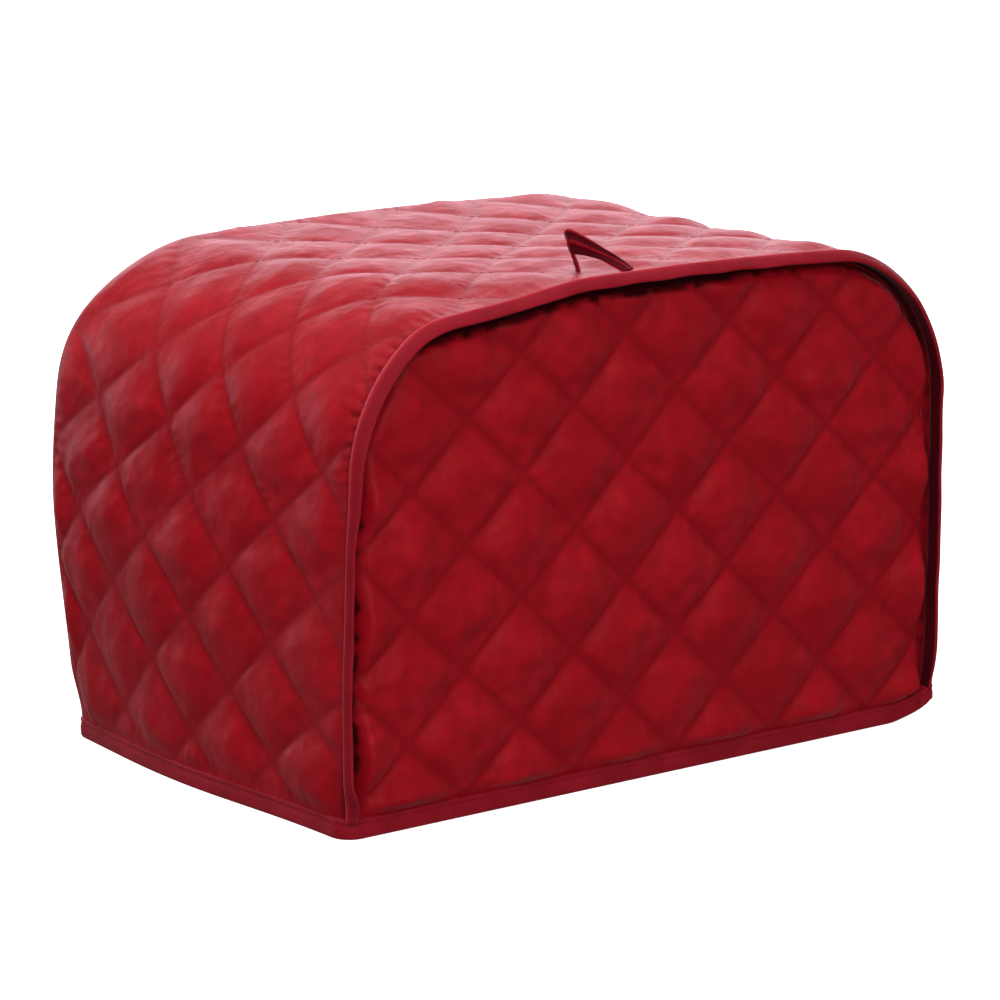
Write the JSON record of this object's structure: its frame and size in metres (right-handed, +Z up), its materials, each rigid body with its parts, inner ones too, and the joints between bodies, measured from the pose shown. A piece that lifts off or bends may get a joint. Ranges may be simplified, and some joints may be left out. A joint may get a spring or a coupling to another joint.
{
  "type": "toaster cover",
  "caption": "Quilted cloth toaster cover with a rounded top, bound seams and hem, open underneath, and a small hanging loop on top.",
  "frame": {"origin": "on the surface that the hem stands on, under the middle of the cover's bounding box", "axes": "+Z up, +X along the width towards the right as seen from the front, -Y towards the front face with the raised binding"},
  "size_m": [0.3322, 0.21, 0.2264],
  "materials": {
    "quilted_cloth": "soft satin-like microfibre, quilted in diamonds",
    "binding_tape": "plain woven folded tape"
  },
  "bodies": {
    "root": {"wrap_panel": "quilted_cloth", "front_panel": "quilted_cloth", "back_panel": "quilted_cloth", "front_binding": "binding_tape", "back_binding": "binding_tape", "hem_binding": "binding_tape", "top_loop": "binding_tape"}
  },
  "joints": []
}
